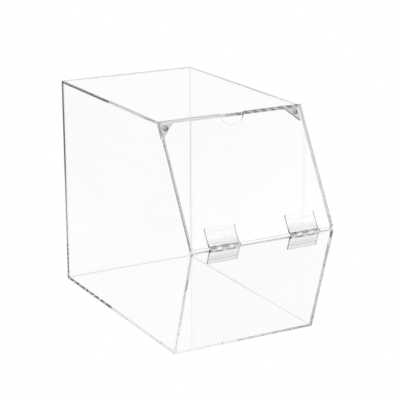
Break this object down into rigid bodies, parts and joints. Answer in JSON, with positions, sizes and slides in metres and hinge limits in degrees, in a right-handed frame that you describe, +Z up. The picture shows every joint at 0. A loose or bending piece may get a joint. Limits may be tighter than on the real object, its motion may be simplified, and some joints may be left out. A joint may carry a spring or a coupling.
{
  "type": "donation box",
  "caption": "Clear acrylic countertop bin for gifts: square back, flat top, lower front leaning out and a sloping lid with a finger notch that tips forward on moulded hinges.",
  "frame": {"origin": "middle of the footprint, on the surface the box stands on", "axes": "+X across the box to its right side, -Y towards the sloping front and the person using it, +Z up"},
  "size_m": [0.175, 0.3302, 0.2507],
  "materials": {
    "clear_sheet": "clear acrylic sheet with polished faces and polished cut edges",
    "gusset_sheet": "clear acrylic sheet seen grey against the light, with polished cut edges",
    "bumper_gel": "soft clear moulded dome, glossy",
    "hinge_moulding": "clear injection moulding, glossy, with faint flow marks",
    "hinge_pin": "clear plastic rod, drawn, slightly hazy"
  },
  "bodies": {
    "case": {"left_side_panel": "clear_sheet", "right_side_panel": "clear_sheet", "back_panel": "clear_sheet", "top_panel": "clear_sheet", "base_panel": "clear_sheet", "front_panel": "clear_sheet", "left_corner_gusset": "gusset_sheet", "right_corner_gusset": "gusset_sheet", "left_dome_bumper": "bumper_gel", "right_dome_bumper": "bumper_gel", "left_hinge_case_leaf": "hinge_moulding", "left_hinge_pin": "hinge_pin", "right_hinge_case_leaf": "hinge_moulding", "right_hinge_pin": "hinge_pin"},
    "lid": {"lid_panel": "clear_sheet", "left_hinge_lid_leaf": "hinge_moulding", "right_hinge_lid_leaf": "hinge_moulding"}
  },
  "joints": [
    {"name": "lid_hinge", "type": "hinge", "parent": "case", "child": "lid", "pos_m": [0, -0.16266, 0.12748], "axis": [1, 0, 0], "range_deg": [0, 180]}
  ]
}
